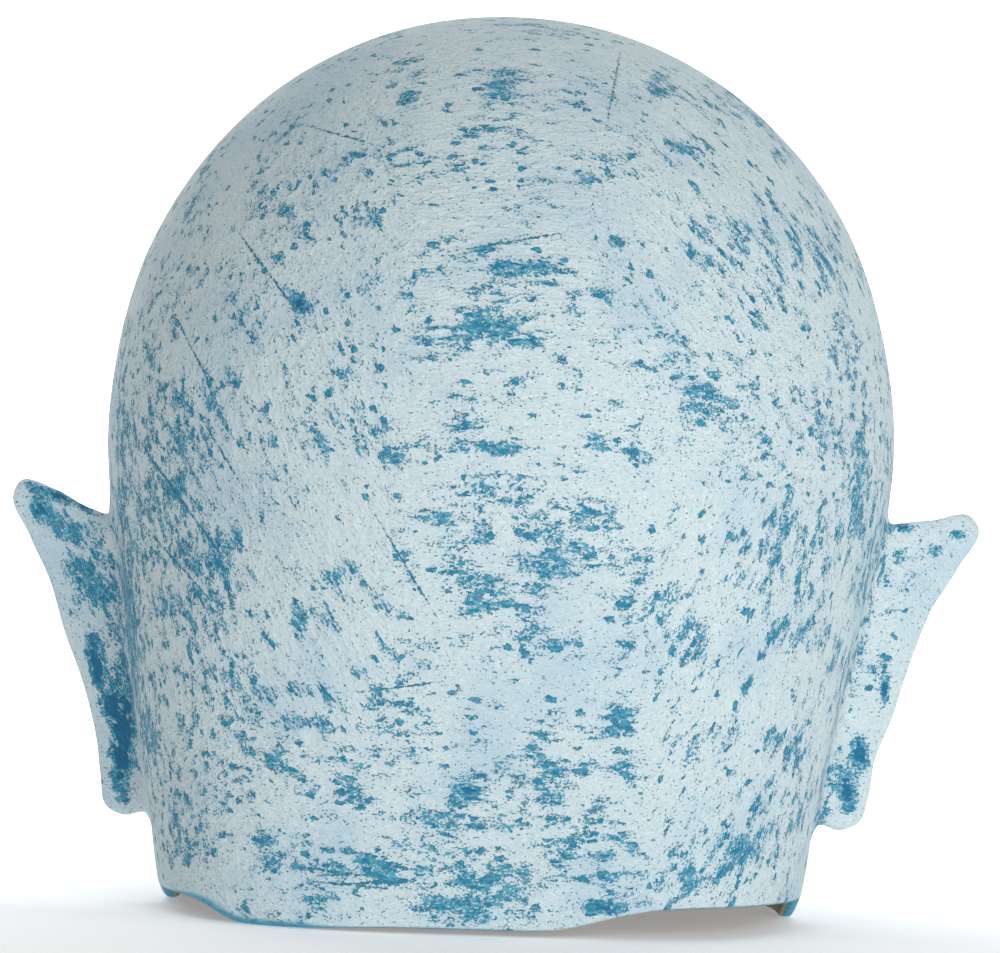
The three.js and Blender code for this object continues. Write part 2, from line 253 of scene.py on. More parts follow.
def closed_mesh(name, rings, start, end, surface):
    """Quads between rings of points and a fan at each end, in one slot, turned the right way out."""
    count, size = rings.shape[:2]
    j = np.arange(size)
    k = (j + 1) % size
    i = np.arange(count - 1)[:, None] * size
    quads = np.stack([i + j, i + k, i + k + size, i + j + size], axis=-1).reshape(-1, 4)
    first, last = np.full(size, count * size), np.full(size, count * size + 1)
    top = (count - 1) * size
    fans = np.concatenate([np.stack([first, k, j], axis=-1), np.stack([last, top + j, top + k], axis=-1)])
    points = (np.concatenate([rings.reshape(-1, 3), [start, end]]) + CENTRING) / 1000
    corners = [points[part] for part in np.concatenate([quads[:, :3], quads[:, [0, 2, 3]], fans]).T]
    if np.einsum("ij,ij->", corners[0], np.cross(corners[1], corners[2])) < 0:
        quads, fans = quads[:, ::-1], fans[:, ::-1]
    mesh = bpy.data.meshes.new(name)
    mesh.from_pydata(points.tolist(), [], quads.tolist() + fans.tolist())
    for slot in SURFACES:
        mesh.materials.append(bpy.data.materials.get(slot) or bpy.data.materials.new(slot))
    mesh.polygons.foreach_set("material_index", np.full(len(mesh.polygons), SURFACES.index(surface)))
    piece = bpy.data.objects.new(name, mesh)
    bpy.context.scene.collection.objects.link(piece)
    return piece


def closed_curve(points, count):
    """A closed cubic through the points, each tangent weighted by the chords beside it, in equal steps."""
    here = np.array(points, float)
    after, before = np.roll(here, -1, axis=0), np.roll(here, 1, axis=0)
    chord = np.linalg.norm(after - here, axis=1)[:, None]
    last_chord = np.roll(chord, 1, axis=0)
    weighted = (here - before) / last_chord * chord + (after - here) / chord * last_chord
    tangent = weighted / (chord + last_chord)
    steps_between = 30
    t = (np.arange(steps_between) / steps_between)[:, None, None]
    curve = (here * (2 * t**3 - 3 * t**2 + 1) + tangent * chord * (t**3 - 2 * t**2 + t)
             + after * (3 * t**2 - 2 * t**3) + np.roll(tangent, -1, axis=0) * chord * (t**3 - t**2))
    curve = curve.transpose(1, 0, 2).reshape(-1, 2)
    curve = np.concatenate([curve, curve[:1]])
    length = np.concatenate([[0], np.cumsum(np.linalg.norm(np.diff(curve, axis=0), axis=1))])
    steps = np.arange(count) / count * length[-1]
    return np.stack([np.interp(steps, length, curve[:, axis]) for axis in (0, 1)], axis=-1)


def ear_depth(x, z):
    """Where the middle of the ear's sheet lies: in a straight slope forwards from its root in the wall."""
    sweep_run = EAR_SWEEP["ends_out"] - EAR_SWEEP["starts_out"]
    out = np.clip((x - station(HALF_WIDTHS, z) - EAR_SWEEP["starts_out"]) / sweep_run, 0, 1)
    up_ear = smoothstep(z, EAR_LEVELS["lobe"], EAR_LEVELS["tip"])
    free_edge = EAR_SWEEP["lobe"] + (EAR_SWEEP["tip"] - EAR_SWEEP["lobe"]) * up_ear
    return EAR_SWEEP["root"] + (free_edge - EAR_SWEEP["root"]) * out


def ear(name, outline, hand):
    """A leaf: rings run from a middle out to the outline over the front and back again behind, on the
    sloping sheet. In front a bell of thickness rolls the free edge, and another makes the ridge inside it."""
    edge = closed_curve(outline, OUTLINE_POINTS)
    middle = np.array([EAR_MIDDLE["side"], EAR_MIDDLE["level"]])
    across_rings = 24
    turn = np.concatenate([[0], (np.arange(2 * across_rings) + 0.5) / across_rings, [2]])[:, None]
    place = np.sin(turn * np.pi / 2)
    flat = middle + place[..., None] * (edge - middle)
    sheet = np.stack([flat[..., 0], ear_depth(flat[..., 0], flat[..., 1]), flat[..., 1]], axis=-1)
    free = smoothstep(edge[:, 0] - station(HALF_WIDTHS, edge[:, 1]), *EAR_FREE)
    rounds_from = EAR_THICKNESS["rounds_from"]
    closing = np.sqrt(1 - (np.maximum(0, place - rounds_from) / (1 - rounds_from)) ** 2)
    forms = sum(out * free * mound((place - at) / reach) for at, reach, out in EAR_FORMS.values())
    half_sheet = EAR_THICKNESS["sheet"] / 2
    thickness = np.where(turn < 1, half_sheet + forms, -half_sheet) * closing
    offset = EAR_MIDDLE["bow"] * (1 - place**2) + thickness
    rings = (sheet + offset[..., None] * np.array(EAR_FACES)) * np.array([hand, 1, 1])
    return closed_mesh(name, rings[1:-1], rings[0, 0], rings[-1, 0], "ear")


def ball(name, radius, surface):
    """A sphere in rings round the axis that looks forward: the angle's sine across it and cosine along it."""
    steps_along, steps_round = 40, 64
    polar = (np.arange(1, steps_along) / steps_along * np.pi)[:, None]
    round_it = (np.arange(steps_round) / steps_round * 2 * np.pi)[None, :]
    centre = np.array([lean(NOSE["level"]), NOSE["centre"], NOSE["level"]])
    rings = np.stack(np.broadcast_arrays(
        np.sin(polar) * np.cos(round_it), -np.cos(polar), np.sin(polar) * np.sin(round_it)), axis=-1)
    poles = [centre + np.array([0, end * radius, 0]) for end in (-1, 1)]
    return closed_mesh(name, centre + radius * rings, *poles, surface)


def eye_cutter(name, hand):
    """An almond of two cubic curves, each the sum of its four points by Bernstein weights, carried straight
    through the wall."""
    w, h, slant = EYE["half_width"], EYE["half_height"], EYE["slant"]
    lower = np.array([(-w, -w * slant), (-w * 0.4, -h * 1.3), (w * 0.5, -h * 1.2), (w, w * slant)])
    upper = np.array([(w, w * slant), (w * 0.5, h * 1.45), (-w * 0.4, h * 1.35), (-w, -w * slant)])
    steps_along = 26
    t = (np.arange(steps_along) / steps_along)[:, None]
    weights = np.concatenate([(1 - t) ** 3, 3 * t * (1 - t) ** 2, 3 * t**2 * (1 - t), t**3], axis=1)
    almond = np.concatenate([weights @ lower, weights @ upper])
    depth = np.arange(EYE_CUT["from"], EYE_CUT["to"], EYE_CUT["step"])
    rings = np.stack(np.broadcast_arrays(
        hand * (EYE["side"] + almond[:, 0]), depth[:, None], EYE["level"] + almond[:, 1]), axis=-1)
    ends = [np.array([hand * EYE["side"], y, EYE["level"]]) for y in (depth[0], depth[-1])]
    return closed_mesh(name, rings, *ends, "cut")


def combine(base, other, operation):
    """Adds the other piece to the base or cuts it away, and leaves the result as the base's mesh."""
    join = base.modifiers.new(operation, "BOOLEAN")
    join.object = other
    join.operation = operation
    join.solver = "MANIFOLD"
    depsgraph = bpy.context.evaluated_depsgraph_get()
    base.data = bpy.data.meshes.new_from_object(base.evaluated_get(depsgraph))
    base.modifiers.clear()
    bpy.data.objects.remove(other)


outside = head_surface(rows=170, columns=330, inset=0.0)
mask = closed_mesh("clown_mask", outside, (0, 0, -RIM_DROP), (0, 0, HEIGHT), "head")
for name, outline, hand in (("left_ear", LEFT_OUTLINE, 1), ("right_ear", RIGHT_OUTLINE, -1)):
    combine(mask, ear(name, outline, hand), "UNION")
combine(mask, ball("nose_ball", NOSE["radius"], "nose"), "UNION")
below_rim = np.array([0.0, 0.0, -20.0])
inside = head_surface(rows=60, columns=110, inset=WALL)
inside = np.concatenate([inside[:1] * (1, 1, 0) + below_rim, inside])
combine(mask, closed_mesh("cavity", inside, below_rim, (0, 0, HEIGHT - WALL), "inside"), "DIFFERENCE")
combine(mask, ball("nose_hollow", NOSE["hollow_radius"], "inside"), "DIFFERENCE")
for name, hand in (("left_eye_cutter", 1), ("right_eye_cutter", -1)):
    combine(mask, eye_cutter(name, hand), "DIFFERENCE")

# The cuts leave slivers and faces of many sides. Points that lie within a hair are joined. The faces of
# many sides are split into triangles, as are those at points with only two edges, and pairs of folded
# triangles are taken out.
HAIR_MM = 0.02
mended = bmesh.new()
mended.from_mesh(mask.data)
bmesh.ops.remove_doubles(mended, verts=mended.verts, dist=HAIR_MM / 1000)
many_sided = [face for face in mended.faces
              if len(face.verts) > 4 or any(len(point.link_edges) == 2 for point in face.verts)]
bmesh.ops.triangulate(mended, faces=many_sided)
by_points = {}
for face in mended.faces:
    by_points.setdefault(frozenset(face.verts), []).append(face)
folded = [face for twins in by_points.values() if len(twins) > 1 for face in twins]
bmesh.ops.delete(mended, geom=folded, context="FACES")
mended.to_mesh(mask.data)
mended.free()

# The joined mesh as arrays: points in millimetres from the middle of the neck, edges, and the surfaces each
# point touches.
shell = mask.data
points = np.empty(len(shell.vertices) * 3)
shell.vertices.foreach_get("co", points)
points = points.reshape(-1, 3) * 1000 - CENTRING
edges = np.empty(len(shell.edges) * 2, int)
shell.edges.foreach_get("vertices", edges)
edges = edges.reshape(-1, 2)
loop_points = np.empty(len(shell.loops), int)
shell.loops.foreach_get("vertex_index", loop_points)
face_sizes = np.empty(len(shell.polygons), int)
shell.polygons.foreach_get("loop_total", face_sizes)
face_surfaces = np.empty(len(shell.polygons), int)
shell.polygons.foreach_get("material_index", face_surfaces)
touches = np.zeros((len(points), len(SURFACES)), bool)
touches[loop_points, np.repeat(face_surfaces, face_sizes)] = True


def averaged(values, rounds, weight=1.0):
    """Moves each value towards the mean of its neighbours by its weight, round after round."""
    size = len(values)
    start, end = edges.T
    neighbours = np.bincount(edges.ravel(), minlength=size)[:, None]
    for _ in range(rounds):
        total = np.stack([np.bincount(start, column[end], size) + np.bincount(end, column[start], size)
                          for column in values.T], axis=-1)
        values = values + weight * (total / neighbours - values)
    return values


# How far from a seam the distance is worked out, in millimetres, and in how many rounds.
SEAM_SEARCH = {"farthest": 40.0, "rounds": 30}


def from_seam(first, second):
    """The distance of each point along the edges from where two surfaces meet, up to a farthest distance."""
    meets = touches[:, SURFACES.index(first)] & touches[:, SURFACES.index(second)]
    start, end = edges.T
    lengths = np.linalg.norm(points[start] - points[end], axis=1)
    distance = np.where(meets, 0.0, SEAM_SEARCH["farthest"])
    for _ in range(SEAM_SEARCH["rounds"]):
        np.minimum.at(distance, start, distance[end] + lengths)
        np.minimum.at(distance, end, distance[start] + lengths)
    return distance


# How far a fillet pulls a point towards its neighbours in each round.
FILLET_PULL = 0.6
# An ear's fillet widens up the ear and narrows again at the swelling, each by so much over these levels.
EAR_FILLET = {"lobe": 8.0, "wider_by": 8.0, "widens": (45.0, 100.0),
              "narrower_by": 10.0, "narrows": (110.0, 120.0), "full_share": 0.3, "rounds": 50}
# How far from its seam each other fillet is full, how far it reaches, and its rounds.
NOSE_FILLET = (1.5, 5.0, 12)
EYE_EDGE_FILLET = (0.4, 2.0, 3)


def blended(first, second, near, far, rounds):
    """The points with the seam of two surfaces smoothed into a fillet, full near it and gone by far."""
    distance = from_seam(first, second)
    return averaged(points, rounds, FILLET_PULL * (1 - smoothstep(distance, near, far))[:, None])


level = points[:, 2]
ear_fillet = EAR_FILLET["lobe"] + EAR_FILLET["wider_by"] * smoothstep(level, *EAR_FILLET["widens"])
ear_fillet = ear_fillet - EAR_FILLET["narrower_by"] * smoothstep(level, *EAR_FILLET["narrows"])
points = blended("head", "ear", EAR_FILLET["full_share"] * ear_fillet, ear_fillet, EAR_FILLET["rounds"])
points = blended("head", "nose", *NOSE_FILLET)
for surface in ("head", "inside"):
    points = blended(surface, "cut", *EYE_EDGE_FILLET)
shell.vertices.foreach_set("co", ((points + CENTRING) / 1000).ravel())
shell.polygons.foreach_set("use_smooth", np.ones(len(shell.polygons), bool))
shell.update()

# How the coat lies behind. Each place is a side and level, the reach across and up, a tilt in degrees, and
# how much of the pale coat is missing: less than nothing where it lies thicker, and 4 where it is gone.
CROWN_PLACES = [
    (4, 258, 12, 3, 8, 1.9), (-2, 251, 13, 3, 14, 1.8), (32, 250, 2.5, 2, 0, 4), (-16, 274, 10, 2, 0, 1.0),
    (9, 240, 13, 2, 0, 0.8), (-15, 245, 9, 2, 0, 0.5), (-41, 261, 6, 7, 0, 0.3), (-58, 252, 9, 3, 20, 0.6),
    (51, 228, 5, 3, -30, 0.5), (76, 227, 7, 4, -40, 0.6), (67, 213, 4, 4, -30, 0.5),
    (39, 210, 4, 3, 30, 1.3), (-24, 224, 2, 2, 0, 2.2), (49, 250, 12, 9, 0, -1.2),
    (11, 215, 18, 9, 0, -0.8), (-39, 220, 15, 12, 0, -0.8), (0, 268, 70, 9, 0, -0.7),
    (-30, 246, 20, 8, 0, -0.8), (-47, 261, 12, 4, -55, 1.6), (-26, 261, 5, 2, 0, 1.4),
]
MIDDLE_PLACES = [
    (28, 192, 2, 5, 0, 2.0), (-2, 198, 14, 3, -4, 1.2), (-16, 195, 7, 3, 0, 1.1), (4, 181, 11, 3, -4, 1.3),
    (-27, 191, 13, 2, 12, 1.3), (-40, 190, 7, 2, 10, 0.8), (-33, 207, 3, 1.5, 0, 4), (-8, 176, 3, 2, 0, 4),
    (10, 174, 10, 3, -6, 1.2), (26, 177, 5, 5, 0, 0.6), (48, 165, 5, 5, 0, 1.3), (47, 173, 3, 3, 0, 1.2),
    (62, 186, 4, 2.2, 45, 5), (34, 140, 4, 2.5, 40, 3.2), (36, 148, 2, 2, 0, 2.0), (-1, 144, 6, 2, 0, 2.2),
    (-27, 147, 2.5, 1.5, 0, 4), (3, 132, 10, 4, 0, 1.1), (-30, 126, 9, 5, -20, 1.8),
    (14, 123, 9, 4, 0, 1.1), (9, 107, 10, 4, 0, 1.1), (-24, 111, 9, 4, -20, 1.4),
    (26, 111, 2, 10, -60, 1.1), (8, 99, 10, 4, -10, 1.1), (-18, 88, 9, 3, 10, 1.3),
    (-36, 98, 5, 4, -30, 1.4), (-17, 153, 18, 7, 0, -0.6), (50, 122, 12, 12, 0, -0.7),
    (-46, 133, 18, 9, 0, -0.8), (-20, 70, 18, 9, 0, -0.8),
]
LEFT_SIDE_PLACES = [
    (108, 162, 3, 18, 0, 0.9), (117, 134, 3, 22, 0, 1.4), (98, 156, 3, 4, 60, 1.3),
    (84, 109, 8, 4, -50, 1.5), (98, 94, 4, 7, 60, 1.3), (114, 88, 4, 22, 0, 1.6), (104, 55, 4, 14, 0, 1.5),
    (92, 19, 4, 8, 70, 1.6), (58, 92, 5, 4, 30, 2.0), (61, 70, 7, 2.5, 0, 2.0), (57, 61, 8, 2.5, 0, 2.2),
    (62, 48, 6, 4, 30, 1.8), (84, 48, 4, 5, 50, 1.3), (77, 39, 6, 5, 50, 0.8), (79, 84, 6, 6, 0, -0.4),
    (95, 125, 12, 18, 0, 0.4), (100, 105, 32, 62, 0, 0.55),
]
RIGHT_SIDE_PLACES = [
    (-52, 177, 7, 3, 20, 0.9), (-59, 161, 6, 7, 30, 1.1), (-72, 182, 6, 5, 30, 0.9),
    (-86, 208, 7, 12, -60, 0.6), (-99, 162, 5, 18, 0, 0.7), (-77, 152, 8, 12, -40, 0.9),
    (-111, 138, 4, 22, 0, 1.0), (-50, 102, 4, 3, -30, 1.5), (-61, 89, 9, 6, -30, 0.6),
    (-42, 113, 7, 5, -20, 0.8), (-99, 89, 4, 15, -70, 0.9), (-87, 101, 7, 6, -60, 0.5),
    (-87, 59, 5, 6, -60, 1.1), (-62, 53, 10, 6, -20, 0.8), (-95, 120, 25, 55, 0, 0.3),
]
NECK_PLACES = [
    (65, 19, 10, 5, 30, 1.1), (29, 72, 8, 7, -20, 1.1), (26, 82, 8, 4, -10, 1.0), (13, 86, 5, 3, -10, 0.8),
    (7, 42, 4, 3, 0, 3.0), (15, 33, 13, 5, 0, 1.6), (35, 18, 11, 4, -6, 1.7), (-4, 16, 11, 5, 4, 1.7),
    (8, 8, 9, 2, 0, 1.8), (-34, 8, 7, 2, 0, 4), (-30, 24, 13, 4, 4, 1.2), (-38, 64, 5, 4, -20, 1.2),
    (-35, 49, 4, 3, 0, 1.3), (-81, 42, 7, 5, -30, 1.1), (-78, 26, 12, 6, -20, 1.6),
    (-64, 17, 9, 4, -10, 1.4), (44, 29, 9, 4, 0, -1.4), (5, 22, 42, 22, 0, 0.35),
]
# The long narrow place along the left ear's upper edge, at side 138 and level 125, leaves it blue. This is
# partly the blue the brush missed there and partly painted shade under that edge.
EAR_PLACES = [
    (144, 121, 4, 6, -60, 4), (137, 113, 3, 4, -60, 3), (138, 125, 15, 1.8, 18, 6),
    (132, 101, 3, 5, -60, 2.4), (126, 95, 7, 5, 0, 1.7), (126, 73, 2.5, 9, -8, 6), (121, 60, 2.5, 4, 0, 5),
    (117, 45, 4, 14, 0, 5.4), (127, 108, 8, 8, 0, 1.1), (119, 80, 4, 16, 0, 2.2), (115, 60, 3, 14, 0, 2.2),
    (126, 88, 16, 45, 0, 0.6), (-128, 124, 6, 1.5, 0, 5), (-146, 122, 2, 1.5, 0, 6),
    (-139, 117, 2, 2, 0, 5), (-124, 72, 1.5, 3.5, 0, 6), (-117, 52, 3, 6, -20, 5.5),
    (-113, 40, 4, 7, -20, 4.6), (-131, 84, 2, 3, 0, 3), (-123, 80, 3, 5, 0, 2.4),
    (-128, 105, 9, 10, 0, 0.7),
]
# The places behind set in over this depth. In front of it the worn places are scattered, each with a reach
# and an amount between these.
BEHIND = (10.0, 45.0)
SCATTERED_PLACES = 110
SCATTERED_REACH = (6, 22)
SCATTERED_AMOUNT = (0.3, 1.0)
# A recess is where the shape smoothed in many rounds stands out over the one smoothed in a few. The fillets
# of the ears don't count as one, so it sets in beyond them.
RECESS_ROUNDS = (14, 2)
BEYOND_FILLET = (8, 30)


def patch(x, z, side, level, across, up, tilt):
    """A tilted bell at a place on the surface."""
    turn = np.radians(tilt)
    along = (x - side) * np.cos(turn) + (z - level) * np.sin(turn)
    over = (z - level) * np.cos(turn) - (x - side) * np.sin(turn)
    return mound(along / across, over / up)


x, y, z = points.T
behind = smoothstep(y, *BEHIND)
places_behind = CROWN_PLACES + MIDDLE_PLACES + LEFT_SIDE_PLACES + RIGHT_SIDE_PLACES + NECK_PLACES
worn_behind = sum(amount * patch(x, z, *place) for *place, amount in places_behind)
draw = np.random.default_rng(7)
worn_elsewhere = np.zeros_like(x)
for _ in range(SCATTERED_PLACES):
    spot = points[draw.integers(len(points))]
    reach = draw.uniform(*SCATTERED_REACH)
    worn_elsewhere += draw.uniform(*SCATTERED_AMOUNT) * mound(np.linalg.norm(points - spot, axis=1) / reach)
normals = np.empty(len(points) * 3)
shell.vertex_normals.foreach_get("vector", normals)
normals = normals.reshape(-1, 3)
smoothest, smoother = (averaged(points, rounds) for rounds in RECESS_ROUNDS)
recess = np.einsum("ij,ij->i", smoothest - smoother, normals)
recess *= smoothstep(from_seam("head", "ear"), *BEYOND_FILLET)
worn = worn_behind * behind + worn_elsewhere * (1 - behind)

# On the ears the coat is smoother, and the brush has left the rolled margin pale.
EAR_STARTS = (0.0, 3.0)
FACES_BACK = (0.0, 0.3)
EAR_COAT = 0.7
EAR_MARGIN_MM = 3.4
EAR_MARGIN_COAT = 2.2
ear_out = smoothstep(np.abs(x) - station(HALF_WIDTHS, np.minimum(z, WIDEST_LEVEL)), *EAR_STARTS)
ear_back = ear_out * smoothstep(normals[:, 1], *FACES_BACK)
margin = np.zeros_like(x)
for outline, hand in ((LEFT_OUTLINE, 1), (RIGHT_OUTLINE, -1)):
    near_ear = np.flatnonzero((ear_out > 0) & (hand * x > 0))
    outer_edge = closed_curve(outline, OUTLINE_POINTS) * (hand, 1)
    across, up = x[near_ear, None] - outer_edge[:, 0], z[near_ear, None] - outer_edge[:, 1]
    margin[near_ear] = mound(np.hypot(across, up).min(axis=1) / EAR_MARGIN_MM)
worn_ears = sum(amount * patch(x, z, *place) for *place, amount in EAR_PLACES) - EAR_COAT
worn = worn + (worn_ears - worn) * ear_back - EAR_MARGIN_COAT * margin * ear_out

# Which way the brush ran on its way to the wearer's right: -1 down, 0 level, 1 up. Each field behind is given
# as the sides and levels over which it sets in, or for the low one fades out. Elsewhere the stroke wanders.
LEFT_FIELD = {"sides": (15, 50), "levels": (40, 80)}
CROWN_FIELD = {"sides": (15, 45), "levels": (165, 200)}
LOW_FIELD = {"sides": (30, 65), "levels": (120, 150)}
WANDERING = {"by": 1.6, "shortest": 60, "longest": 140}
left_field = smoothstep(x, *LEFT_FIELD["sides"]) * smoothstep(z, *LEFT_FIELD["levels"])
crown_field = smoothstep(-x, *CROWN_FIELD["sides"]) * smoothstep(z, *CROWN_FIELD["levels"])
low_field = smoothstep(-x, *LOW_FIELD["sides"]) * (1 - smoothstep(z, *LOW_FIELD["levels"]))
stroke_behind = low_field - left_field - crown_field
wandering = unevenness(x, y, z, WANDERING["shortest"], WANDERING["longest"], seed=3)
stroke_elsewhere = np.clip(WANDERING["by"] * wandering, -1, 1)
stroke = stroke_behind * behind + stroke_elsewhere * (1 - behind)

# Scratches behind, each as the side and level of its two ends and its half width. A point knows how far it
# lies to one side of the nearest one, and how wide that is there, which falls away past the ends.
SCRATCHES = [
    (109, 141, 84, 111, 0.3), (88, 98, 106, 115, 0.25), (78, 203, 66, 188, 0.25), (80, 135, 88, 147, 0.2),
    (100, 181, 88, 161, 0.15), (92, 133, 96, 140, 0.1), (111, 126, 108, 121, 0.2), (33, 118, 22, 101, 0.2),
    (-32, 262, -30, 250, 0.15), (58, 240, 45, 236, 0.2), (20, 74, 38, 71, 0.2), (-12, 208, 8, 204, 0.2),
    (52, 17, 30, 15, 0.2), (50, 13, 29, 12, 0.2),
]
NO_SCRATCH = {"off": 90.0, "width": -30.0}
SCRATCH_TAPER = {"over": 6.0, "at_the_end": 0.5}
off_scratch, scratch_width = np.full_like(x, NO_SCRATCH["off"]), np.full_like(x, NO_SCRATCH["width"])
for side, level, end_side, end_level, half_width in SCRATCHES:
    length = math.hypot(end_side - side, end_level - level)
    along_x, along_z = (end_side - side) / length, (end_level - level) / length
    along = (x - side) * along_x + (z - level) * along_z
    off = (x - side) * along_z - (z - level) * along_x
    from_end = np.minimum(along, length - along)
    taper = np.minimum(1, from_end / SCRATCH_TAPER["over"] + SCRATCH_TAPER["at_the_end"])
    width = half_width * taper + NO_SCRATCH["width"] * (1 - behind)
    near = np.abs(off) - np.minimum(0, from_end) < np.abs(off_scratch)
    off_scratch, scratch_width = np.where(near, off, off_scratch), np.where(near, width, scratch_width)

# The edge of the rim has no pale coat, up to where its rounding or its bevel begins.
RIM_EDGE = {"height": 0.5, "full_below": 0.4}
edge_height = RIM_EDGE["height"] + rim_bevel(x, y)
rim_edge = 1 - smoothstep(z - rim_cut(x, y), RIM_EDGE["full_below"] * edge_height, edge_height)
for name, values in (("worn", worn), ("recess", recess), ("stroke", stroke), ("rim_edge", rim_edge),
                     ("off_scratch", off_scratch), ("scratch_width", scratch_width)):
    shell.attributes.new(name, "FLOAT", "POINT").data.foreach_set("value", values.astype(np.float32))


def linear(hex_colour):
    """An sRGB hex colour as the linear colour that a shader takes."""
    parts = np.array([int(hex_colour[i:i + 2], 16) for i in (1, 3, 5)]) / 255
    return tuple(np.where(parts <= 0.04045, parts / 12.92, ((parts + 0.055) / 1.055) ** 2.4)) + (1.0,)


def add(tree, kind, inputs, **settings):
    """A shader node with its settings. Each input is a constant, or a socket or node that feeds it."""
    made = tree.nodes.new("ShaderNode" + kind)
    for name, value in settings.items():
        setattr(made, name, value)
    for socket, value in inputs.items():
        if isinstance(value, bpy.types.Node):
            value = next(output for output in value.outputs if output.enabled)
        if isinstance(value, bpy.types.NodeSocket):
            tree.links.new(value, made.inputs[socket])
        else:
            made.inputs[socket].default_value = value
    return made


def material(name):
    """An empty material and its node tree."""
    made = bpy.data.materials.new(name)
    made.use_nodes = True
    made.node_tree.nodes.clear()
    return made, made.node_tree


# Dry-brushed matt paint, as on a papier-mache mask: a full coat of blue over a gesso ground, then a pale
# coat dragged over it with a nearly dry brush, chalky, which catches the high grain. Blue stays in crumbs,
# chips and scratches where the brush ran dry, and shines faintly through where the pale coat is thin.
# Light and shade are painted in as well: a lighter pale round each gap is a painted highlight, and darker
# blue in deep gaps and along chip walls is painted shade.
PALE, PAINTED_HIGHLIGHT_PALE, HAZE = linear("#c5d8dd"), linear("#dbe6e6"), linear("#a4c4d8")
# DEEP_BLUE stands for the blue in shade in deep gaps and along chip walls, which is painted shade; on the cut
# edges it is the blue paint.
BLUE, DEEP_BLUE, SOLID_BLUE = linear("#54a7c1"), linear("#0c799a"), linear("#005a86")
# Along the stroke and across it, for crumbs and specks of paint, streaks of a drying brush and its ridges.
BRUSHED_MM = {"crumb": (1.4, 0.95), "speck": (0.8, 0.55), "streak": (9.0, 3.6), "ridge": (3.5, 1.1)}
BRUSHED_DETAIL = {"crumb": (2.0, 0.6), "speck": (0.0, 0.5), "streak": (2.5, 0.6), "ridge": (2.0, 0.6)}
STROKE_TURNS = {"down": math.radians(-50), "level": 0.0, "up": math.radians(58)}
STROKE_CHANGES = {"cluster": 1.6, "down_below": 0.3, "up_above": 1.3}
CLUSTER_MM = 22.0
CLOUD_MM = 38.0
CHIP_MM = (2.8, 1.7, 1.7)
CHIP_EDGE_MM = 2.6
# What each thing adds to the dryness of the brush, and the dryness over which the pale coat thins out.
DRYNESS = {"streak": 0.5, "cluster": 0.3, "worn": 0.07, "recess": 0.09}
THINS_OUT = {"From Min": 0.36, "From Max": 0.54}
SCRATCH_RAGGED_MM = 2.4
COAT_MM = 0.3
RELIEF_MM = {"crumb": 0.3, "ridge": 0.45, "streak": 1.1}
dry_brushed, tree = material("dry_brushed_matt_paint")
place = add(tree, "TexCoord", {}).outputs["Object"]
felt = {name: add(tree, "Attribute", {}, attribute_name=name).outputs["Fac"]
        for name in ("worn", "recess", "stroke", "rim_edge", "off_scratch", "scratch_width")}
cluster = add(tree, "TexNoise", {"Vector": place, "Scale": 1000 / CLUSTER_MM, "Detail": 2.5,
                                 "Roughness": 0.6})
turned = {name: add(tree, "Mapping", {"Vector": place, "Rotation": (0, turn, 0), "Scale": (0.001,) * 3},
                    vector_type="TEXTURE") for name, turn in STROKE_TURNS.items()}
leaning = add(tree, "Math", {0: cluster, 1: STROKE_CHANGES["cluster"], 2: felt["stroke"]},
              operation="MULTIPLY_ADD")
goes_down = add(tree, "Math", {0: leaning, 1: STROKE_CHANGES["down_below"]}, operation="LESS_THAN")
goes_up = add(tree, "Math", {0: leaning, 1: STROKE_CHANGES["up_above"]}, operation="GREATER_THAN")
brushed = add(tree, "Mix", {"Factor": goes_down, "A": turned["level"], "B": turned["down"]},
              data_type="VECTOR")
brushed = add(tree, "Mix", {"Factor": goes_up, "A": brushed, "B": turned["up"]}, data_type="VECTOR")
marks = {}
for name, (along, across) in BRUSHED_MM.items():
    detail, roughness = BRUSHED_DETAIL[name]
    drawn_out = add(tree, "Mapping", {"Vector": brushed, "Scale": (along, across, across)},
                    vector_type="TEXTURE")
    marks[name] = add(tree, "TexNoise", {"Vector": drawn_out, "Scale": 1.0, "Detail": detail,
                                         "Roughness": roughness})
dryness = add(tree, "Math", {0: marks["streak"], 1: DRYNESS["streak"]}, operation="MULTIPLY")
for name, source in (("cluster", cluster), ("worn", felt["worn"]), ("recess", felt["recess"])):
    dryness = add(tree, "Math", {0: source, 1: DRYNESS[name], 2: dryness}, operation="MULTIPLY_ADD")

# Crumbs: where the coat is thin it breaks into specks, never quite solid.
missing = add(tree, "MapRange", {"Value": dryness, **THINS_OUT}, interpolation_type="SMOOTHSTEP")
gone = add(tree, "Math", {0: marks["crumb"], 1: 0.12, 2: dryness}, operation="MULTIPLY_ADD")
gone = add(tree, "MapRange", {"Value": gone, "From Min": 0.665, "From Max": 0.69})
cover = add(tree, "Math", {0: missing, 1: 0.18, 2: marks["crumb"]}, operation="MULTIPLY_ADD")
crumbs = add(tree, "MapRange", {"Value": cover, "From Min": 0.665, "From Max": 0.7})
specks = add(tree, "Math", {0: missing, 1: 0.3, 2: marks["speck"]}, operation="MULTIPLY_ADD")
specks = add(tree, "MapRange", {"Value": specks, "From Min": 0.75, "From Max": 0.82})

